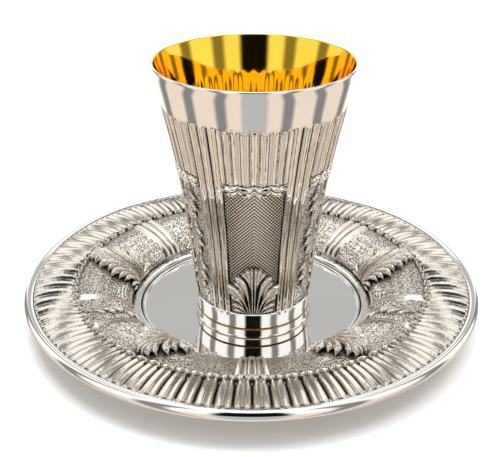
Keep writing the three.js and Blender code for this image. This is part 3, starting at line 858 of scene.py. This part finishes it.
def make_foot_ring():
    """A plain turned ring, soldered on, with a thin lip where it stands; a brown line of gold shows
    along the joint and on the lip."""
    top = RING_HIGH.z - FOOT_Z
    lip_radius = FOOT_BAND_RADIUS + 0.6 * MM
    bore = 16.6 * MM
    bottom = -0.28 * MM
    profile = [(bore, bottom), (lip_radius - 0.15 * MM, bottom), (lip_radius, bottom + 0.12 * MM)]
    profile += [(lip_radius, bottom + 0.25 * MM), (lip_radius - 0.1 * MM, bottom + 0.36 * MM)]
    profile += [(FOOT_BAND_RADIUS + 0.12 * MM, bottom + 0.4 * MM)]
    profile += [(FOOT_BAND_RADIUS, bottom + 0.52 * MM), (FOOT_BAND_RADIUS, top - 0.3 * MM)]
    profile += [(FOOT_BAND_RADIUS - 0.3 * MM, top), (FOOT_BAND_RADIUS - 0.6 * MM, top + 0.3 * MM)]
    profile += [(bore, top + 0.3 * MM)]
    centre = Vector((CUP_CENTRE.x, CUP_CENTRE.y, FOOT_Z))
    obj = spun_piece("foot_ring_silver", profile + [profile[0]], 288, centre)

    def pick(middles):
        height = middles[:, 2] - FOOT_Z
        on_lip = (height > bottom + 0.1 * MM) & (height < bottom + 0.38 * MM)
        return np.where((height > top - 0.29 * MM) | on_lip, 1, 0)

    paint_faces(obj, [POLISHED, SEAM], pick)
    smooth(obj)
    finish_piece(obj, "polished_silver", "foot_ring")


# ---- Saucer ----

SAUCER_COLUMNS = 720


def domed_wall(t, offset=0.0):
    """Radius and height on the wall's quarter ellipse; offset is square to it, inwards and up."""
    turn = 0.5 * math.pi * t
    width = WALL_OUTER - WALL_INNER
    radius = WALL_OUTER - width * np.cos(turn)
    height = LEDGE_Z + WALL_HEIGHT * np.sin(turn)
    across = WALL_HEIGHT * np.cos(turn)
    up = width * np.sin(turn)
    size = np.hypot(across, up)
    return radius - offset * across / size, height + offset * up / size


def saucer_profile():
    """From the middle of the underside out to the rolled edge and back over the top to the middle."""
    under = [(0, 0.0), (30 * MM, 0.0), (41.2 * MM, 0.0), (41.9 * MM, 0.25 * MM)]
    under += [tuple(domed_wall(t, -SHEET)) for t in np.linspace(0.02, 1, 14)]
    under += [(68 * MM, BAND_Z - SHEET), (BEAD_CENTRE - BEAD_RADIUS, BAND_Z - SHEET)]
    bead = arc(BEAD_CENTRE, BEAD_Z, BEAD_RADIUS, -150, 128, 24)
    shelf = [(BAND_OUTER + 0.45 * MM, BAND_Z + 0.25 * MM), (BAND_OUTER + 0.1 * MM, BAND_Z + 0.12 * MM)]
    band = [(BAND_OUTER - 0.4 * MM, BAND_Z - 0.5 * MM), (68 * MM, BAND_Z - 0.5 * MM),
            (WALL_OUTER + 1.6 * MM, BAND_Z - 0.45 * MM)]
    wall = [tuple(domed_wall(t)) for t in np.linspace(1, 0, 36)]
    ledge = [(42.25 * MM, LEDGE_Z - 0.3 * MM), (42.05 * MM, LEDGE_Z - 0.3 * MM)]
    ledge += [(41.9 * MM, LEDGE_Z - 0.05 * MM), (41.7 * MM, LEDGE_Z), (40.8 * MM, LEDGE_Z + 0.04 * MM)]
    ledge += [(39.9 * MM, LEDGE_Z), (39.6 * MM, LEDGE_Z - 0.1 * MM), (39.45 * MM, LEDGE_Z - 0.35 * MM)]
    ledge += [(39.3 * MM, LEDGE_Z - 1.15 * MM), (38.8 * MM, LEDGE_Z - 1.2 * MM)]
    ledge += arc(38.3 * MM, WELL_Z + 0.25 * MM, 0.4 * MM, 45, 170, 7)
    well = [(WELL_RADIUS - 0.1 * MM, WELL_Z), (WELL_RADIUS - 0.6 * MM, WELL_Z), (30 * MM, WELL_Z)]
    well += [(16 * MM, WELL_Z), (0, WELL_Z)]
    return under + bead + shelf + band + wall + ledge + well


def bundle_relief(azimuth):
    """Raised ribs that cross the domed wall: three side by side, or one on each side of husks."""
    width = 2 * BUNDLE_RIB_HALF
    plain = nearest(azimuth, PLAIN_BUNDLES)
    in_plain = np.abs(plain) < 1.5 * width
    place = (plain / width + 1.5) % 1.0
    rib = 0.75 * MM * (1 - np.abs(2 * place - 1) ** 3)
    husk = nearest(azimuth, HUSK_BUNDLES)
    beside = (np.abs(husk) - HUSK_RIB_OFFSET) / BUNDLE_RIB_HALF
    on_side = 0.85 * MM * np.clip(1 - np.abs(beside) ** 3, 0, 1)
    on_side -= 0.35 * MM * np.clip(1 - np.abs(beside * 4) ** 2, 0, 1)
    return np.where(in_plain, rib, on_side)


def make_saucer():
    centre = Vector((0, 0, 0))
    obj = spun_piece("saucer_silver", saucer_profile(), SAUCER_COLUMNS, centre)
    azimuth, radius, height = turned_places(obj, centre)
    t = 2 / math.pi * np.arccos(np.clip((WALL_OUTER - radius) / (WALL_OUTER - WALL_INNER), 0, 1))
    _, surface_height = domed_wall(t)
    on_wall = (radius > WALL_INNER - 0.1 * MM) & (radius < WALL_OUTER + 0.05 * MM)
    on_wall &= np.abs(height - surface_height) < 0.3 * MM
    relief = np.where(on_wall, bundle_relief(azimuth), 0)
    relief = relief * ramp01(t, 0.0, 0.06)
    lean = 0.5 * math.pi * t
    put_turned(obj, centre, azimuth, radius - relief * np.cos(lean), height + relief * np.sin(lean))
    # Between the plain bundles' ribs the colour is darkened as the wall sinks: painted shade, with sulphide.
    crossed = np.abs(nearest(azimuth, PLAIN_BUNDLES)) < 3 * BUNDLE_RIB_HALF
    groove = crossed & (np.abs(relief) < 0.3 * MM) & on_wall
    mark(obj, "lit_and_polished", np.where(groove, np.clip(relief / (0.3 * MM), 0.1, 1), 1.0))

    def pick(middles):
        face_azimuth = np.degrees(np.arctan2(middles[:, 0], -middles[:, 1]))
        face_radius = np.hypot(middles[:, 0], middles[:, 1])
        top = middles[:, 2] > np.where(face_radius < WALL_OUTER, LEDGE_Z, BAND_Z - 0.8 * MM)
        wall = (face_radius > WALL_INNER) & (face_radius < WALL_OUTER + 2 * MM) & top
        inside_line = (WALL_OUTER - face_radius) / (WALL_OUTER - WALL_INNER)
        dome = LEDGE_Z + WALL_HEIGHT * np.sqrt(np.clip(1 - inside_line ** 2, 0, 1))
        wall &= middles[:, 2] > dome - 0.55 * MM
        plain = np.abs(nearest(face_azimuth, PLAIN_BUNDLES)) < 3 * BUNDLE_RIB_HALF
        beside = np.abs(np.abs(nearest(face_azimuth, HUSK_BUNDLES)) - HUSK_RIB_OFFSET) < BUNDLE_RIB_HALF
        index = np.zeros(len(face_radius))
        index[wall] = 1
        index[wall & (plain | beside)] = 2
        on_top = middles[:, 2] > WELL_Z - 0.05 * MM
        groove = (face_radius > 38.75 * MM) & (face_radius < 39.35 * MM)
        groove |= (face_radius > 41.95 * MM) & (face_radius < 42.3 * MM)
        index[on_top & groove & (middles[:, 2] < LEDGE_Z - 0.1 * MM)] = 3
        return index

    paint_faces(obj, [POLISHED, STIPPLED, FLUTED, GROOVE_SHADE], pick)
    smooth(obj)
    finish_piece(obj, "chased_silver", "saucer")


FLUTE_COLUMNS = 16                # a unit


def flute_height(across):
    """Across a unit of the fluted band, from -0.5 to 0.5: two round reeds with a channel between
    them, and a deep groove on either side. Gives the height, and how bright the colour is left: the groove
    and the channel are painted dark, partly as sulphide and partly as painted shade."""
    side = np.abs(across)
    reeds = 1.05 * MM * np.exp(-((side - 0.255) / 0.115) ** 2)
    channel = 0.22 * MM * np.exp(-(side / 0.05) ** 2)
    groove = -0.5 * MM * np.exp(-((side - 0.5) / 0.07) ** 2)
    polish_and_light = 1 - np.exp(-((side - 0.5) / 0.06) ** 2) - 0.75 * np.exp(-((side - 0.045) / 0.03) ** 2)
    return reeds + channel + groove - 0.5 * MM, np.clip(polish_and_light, 0, 1)


def make_flutes():
    """The band of radial flutes: one ring of units, each with a scalloped inner end that is rolled
    over, and a bead-like outer end."""
    rows = np.concatenate([np.linspace(0, 0.16, 12), np.linspace(0.2, 0.88, 14), np.linspace(0.9, 1.0, 8)])
    span = BAND_OUTER - WALL_OUTER
    top = [(WALL_OUTER + span * t, BAND_Z) for t in rows]
    under = BAND_Z - 0.9 * MM
    profile = [(WALL_OUTER + 0.5 * MM, under)] + top + [(BAND_OUTER - 0.1 * MM, under)]
    centre = Vector((0, 0, 0))
    obj = spun_piece("saucer_flutes", profile + [profile[0]], FLUTE_UNITS * FLUTE_COLUMNS, centre)
    azimuth, radius, height = turned_places(obj, centre)
    along = np.clip((radius - WALL_OUTER) / span, 0, 1)
    across = (azimuth / 360 * FLUTE_UNITS) % 1.0 - 0.5
    upper = height > BAND_Z - 0.1 * MM
    side = 2 * np.abs(across)
    scallop = 1.6 * MM * side ** 2.6
    pulled = radius + scallop * (1 - ramp01(along, 0, 0.5))
    from_inner = along * span
    from_outer = (1 - along) * span
    roll = 0.75 * MM * np.exp(-((from_inner - 0.5 * MM) / (0.42 * MM)) ** 2)
    niche = -0.75 * MM * np.exp(-((from_inner - 1.6 * MM) / (0.55 * MM)) ** 2 - (across / 0.17) ** 2)
    edge_drop = -0.9 * MM * (1 - ramp01(from_inner, 0.0, 0.3 * MM))
    reeds, polish_and_light = flute_height(across)
    body = reeds * ramp01(from_inner, 0.4 * MM, 1.6 * MM) * ramp01(from_outer, 0.2 * MM, 0.9 * MM)
    crown = 0.95 * MM * 4 * along * (1 - along)
    out = body + roll + niche + edge_drop - 0.5 * MM * (1 - ramp01(from_outer, 0.0, 0.25 * MM))
    radius = np.where(upper, pulled, radius)
    height = np.where(upper, height + out + crown, height)
    put_turned(obj, centre, azimuth, radius, height)
    # Painted shade in each unit's niche behind its rolled inner end, and in its channel near the outer end.
    painted_niche_shade = np.exp(-((from_inner - 1.6 * MM) / (0.5 * MM)) ** 2 - (across / 0.15) ** 2)
    painted_niche_shade += np.exp(-((from_outer - 0.8 * MM) / (0.35 * MM)) ** 2 - (across / 0.12) ** 2)
    mark(obj, "lit_and_polished", np.clip(polish_and_light - painted_niche_shade, 0, 1))
    smooth(obj)
    obj.data.materials.append(FLUTED)
    finish_piece(obj, "chased_silver")


def on_saucer(azimuth, start, direction):
    width = WALL_OUTER - WALL_INNER
    length = 0.5 * math.pi * math.hypot(width, WALL_HEIGHT) / math.sqrt(2)

    def place(across, along, out):
        t = start + direction * along / length
        radius, height = domed_wall(t, out)
        surface_radius, _ = domed_wall(t)
        turn = math.radians(azimuth) - direction * across / surface_radius
        return (radius * math.sin(turn), -radius * math.cos(turn), height)
    return place


def make_saucer_leaves():
    placements = [(1.16, on_saucer(azimuth, 0.02, 1)) for azimuth in LEAF_PLACES]
    obj = leaf_piece("saucer_leaves", LEAF_LOBES, placements)
    finish_piece(obj, "chased_silver")


def make_saucer_husks():
    placements = [(0.8, on_saucer(azimuth, start, -1)) for azimuth in HUSK_BUNDLES
                  for start in (0.98, 0.55)]
    obj = leaf_piece("saucer_husks", HUSK_LOBES, placements)
    finish_piece(obj, "chased_silver")


# ---- Studio ----

def make_floor():
    deselect_all()
    bpy.ops.mesh.primitive_circle_add(vertices=96, radius=3.0, fill_type="NGON", location=(0, 0, 0))
    floor = named("floor")
    floor.data.materials.append(pale_floor())
    floor.visible_glossy = False


# The tent that the silver shows: upright softboxes all round at an even spacing, with a gap between
# each two, a flag in front where the camera stands, and a plain backdrop behind.
SPACING = 45                      # degrees from one gap to the next
GAPS_A_SIDE = 3
GAP_HALF = 5                      # degrees
FLAG_HALF = 15
BACKDROP_HALF = 30
EDGE = 5                          # degrees over which one tone turns into the next

WHITE = "#ffffff"
CREAM = "#eeddcc"
PALE_GREY = "#bbbbbb"
GREY = "#888888"
BLACK = "#111111"
ROOM = "#f2f2f2"                  # what is seen past the floor


def tent_strips(softbox, gap, flag, backdrop):
    """One tier of the tent as (azimuth, colour) stops, from the back round by the left, the front and
    the right to the back."""
    strips = [(-180, backdrop), (BACKDROP_HALF - 180, backdrop), (BACKDROP_HALF - 180 + EDGE, softbox)]
    for place in range(-GAPS_A_SIDE, GAPS_A_SIDE + 1):
        middle = place * SPACING
        tone, half = (gap, GAP_HALF) if place else (flag, FLAG_HALF)
        strips += [(middle - half - EDGE, softbox), (middle - half, tone)]
        strips += [(middle + half, tone), (middle + half + EDGE, softbox)]
    return strips + [(-azimuth, colour) for azimuth, colour in reversed(strips[:3])]


# Each tier and the rise, as the upward part of a direction, over which the next one takes over: what
# shows from below, where the table lights it, then the sides, the backdrop's height, and the top.
TIERS = [(tent_strips(CREAM, GREY, PALE_GREY, WHITE), None),
         (tent_strips(WHITE, GREY, BLACK, WHITE), (-0.12, -0.04)),
         (tent_strips(WHITE, GREY, BLACK, PALE_GREY), (0.38, 0.42)),
         (tent_strips(WHITE, GREY, BLACK, WHITE), (0.56, 0.575))]
SHOULDER = (0.86, 0.92)           # above which the tent is plain white
SOFTBOX = 1.15                    # how bright its white parts are
OVERHEAD = 0.9                    # and how much brighter it is straight above


def make_world():
    """A light tent: white sides with dark and cream strips, so that the silver has something to show.
    It depends on directions only, the same for every view."""
    world = bpy.data.worlds.new("light_tent")
    bpy.context.scene.world = world
    world.use_nodes = True
    tree = world.node_tree
    direction = add_node(tree, "ShaderNodeTexCoord").outputs["Generated"]
    parts = add_node(tree, "ShaderNodeSeparateXYZ", None, {0: direction})
    backwards = add_node(tree, "ShaderNodeMath", {"operation": "MULTIPLY"}, {0: parts.outputs["Y"], 1: -1.0})
    turn = add_node(tree, "ShaderNodeMath", {"operation": "ARCTAN2"},
                    {0: parts.outputs["X"], 1: backwards.outputs[0]})
    share = add_node(tree, "ShaderNodeMapRange", None,
                     {"Value": turn.outputs[0], "From Min": -math.pi, "From Max": math.pi}).outputs[0]
    tent = None
    for strips, rise in TIERS + [(None, SHOULDER)]:
        colour = linear(WHITE)
        if strips:
            colour = strip_colours(tree, share, strips)
        if rise:
            up = add_node(tree, "ShaderNodeMapRange", None,
                          {"Value": parts.outputs["Z"], "From Min": rise[0], "From Max": rise[1]}).outputs[0]
            colour = add_node(tree, "ShaderNodeMix", {"data_type": "RGBA"},
                              {0: up, 6: tent, 7: colour}).outputs[2]
        tent = colour
    seen = add_node(tree, "ShaderNodeLightPath").outputs["Is Camera Ray"]
    plain = add_node(tree, "ShaderNodeMix", {"data_type": "RGBA"}, {0: seen, 6: tent, 7: linear(ROOM)})
    level = add_node(tree, "ShaderNodeRGBToBW", None, {0: plain.outputs[2]}).outputs[0]
    glow = add_node(tree, "ShaderNodeMapRange", None,
                    {"Value": level, "From Min": 0.88, "From Max": 0.99, "To Min": 1.08, "To Max": SOFTBOX})
    overhead = add_node(tree, "ShaderNodeMapRange", None,
                        {"Value": parts.outputs["Z"], "From Min": 0.95, "From Max": 0.985,
                         "To Max": OVERHEAD})
    total = add_node(tree, "ShaderNodeMath", {"operation": "ADD"},
                     {0: glow.outputs[0], 1: overhead.outputs[0]})
    background = tree.nodes["Background"]
    tree.links.new(plain.outputs[2], background.inputs["Color"])
    tree.links.new(total.outputs[0], background.inputs["Strength"])


def strip_colours(tree, share, strips):
    """The colours of one tier, by share of a turn. It has more edges than one colour ramp holds, so the
    left and the right half have a ramp each."""
    outputs = []
    for half in ([one for one in strips if one[0] < 0], [one for one in strips if one[0] > 0]):
        node = add_node(tree, "ShaderNodeValToRGB", None, {0: share})
        ramp = node.color_ramp
        places = [((azimuth + 180) / 360, linear(colour)) for azimuth, colour in half]
        ramp.elements[0].position, ramp.elements[0].color = places[0]
        ramp.elements[1].position, ramp.elements[1].color = places[-1]
        for position, colour in places[1:-1]:
            ramp.elements.new(position).color = colour
        outputs.append(node.outputs["Color"])
    right = add_node(tree, "ShaderNodeMath", {"operation": "GREATER_THAN"}, {0: share, 1: 0.5}).outputs[0]
    return add_node(tree, "ShaderNodeMix", {"data_type": "RGBA"},
                    {0: right, 6: outputs[0], 7: outputs[1]}).outputs[2]


# Name, place in metres, and watts.
LAMPS = [("key", (-0.25, 0.30, 1.0), 8.0), ("fill", (0.45, 0.15, 0.9), 5.0)]
LAMP_SIZE = 0.6


def make_lamps():
    """Two large soft lamps above, for the light and the shadow on the floor."""
    for name, place, power in LAMPS:
        lamp = bpy.data.lights.new(name, "AREA")
        lamp.size = LAMP_SIZE
        lamp.energy = power
        obj = bpy.data.objects.new(name, lamp)
        obj.location = place
        obj.visible_glossy = False
        obj.rotation_euler = (Vector((0, 0, 0.03)) - Vector(place)).to_track_quat("-Z", "Y").to_euler()
        bpy.context.scene.collection.objects.link(obj)


CAMERA_PLACE = (-1.81 * MM, -289.45 * MM, WELL_Z + 172.65 * MM)
CAMERA_PITCH = 26.4               # degrees down
CAMERA_YAW = 0.25
CAMERA_ROLL = 0.24
LENS = 67.2                       # mm, on a sensor 36 mm wide


def make_camera():
    pitch, yaw, roll = (math.radians(angle) for angle in (CAMERA_PITCH, CAMERA_YAW, CAMERA_ROLL))
    ahead = Vector((math.sin(yaw) * math.cos(pitch), math.cos(yaw) * math.cos(pitch), -math.sin(pitch)))
    level = Vector((math.cos(yaw), -math.sin(yaw), 0))
    upright = level.cross(ahead)
    right = math.cos(roll) * level + math.sin(roll) * upright
    up = math.cos(roll) * upright - math.sin(roll) * level
    camera = bpy.data.cameras.new("camera")
    camera.lens = LENS
    camera.sensor_width = 36.0
    camera.clip_start = 0.01
    obj = bpy.data.objects.new("camera", camera)
    turn = Matrix((right, up, -ahead)).transposed().to_4x4()
    obj.matrix_world = Matrix.Translation(CAMERA_PLACE) @ turn
    bpy.context.scene.collection.objects.link(obj)
    bpy.context.scene.camera = obj


make_camera()
make_world()
make_lamps()
make_floor()
make_beaker()
make_beaker_leaves()
make_beaker_husks()
make_valance()
make_foot_ring()
make_saucer()
make_flutes()
make_saucer_leaves()
make_saucer_husks()
bpy.context.scene.view_settings.view_transform = "Standard"
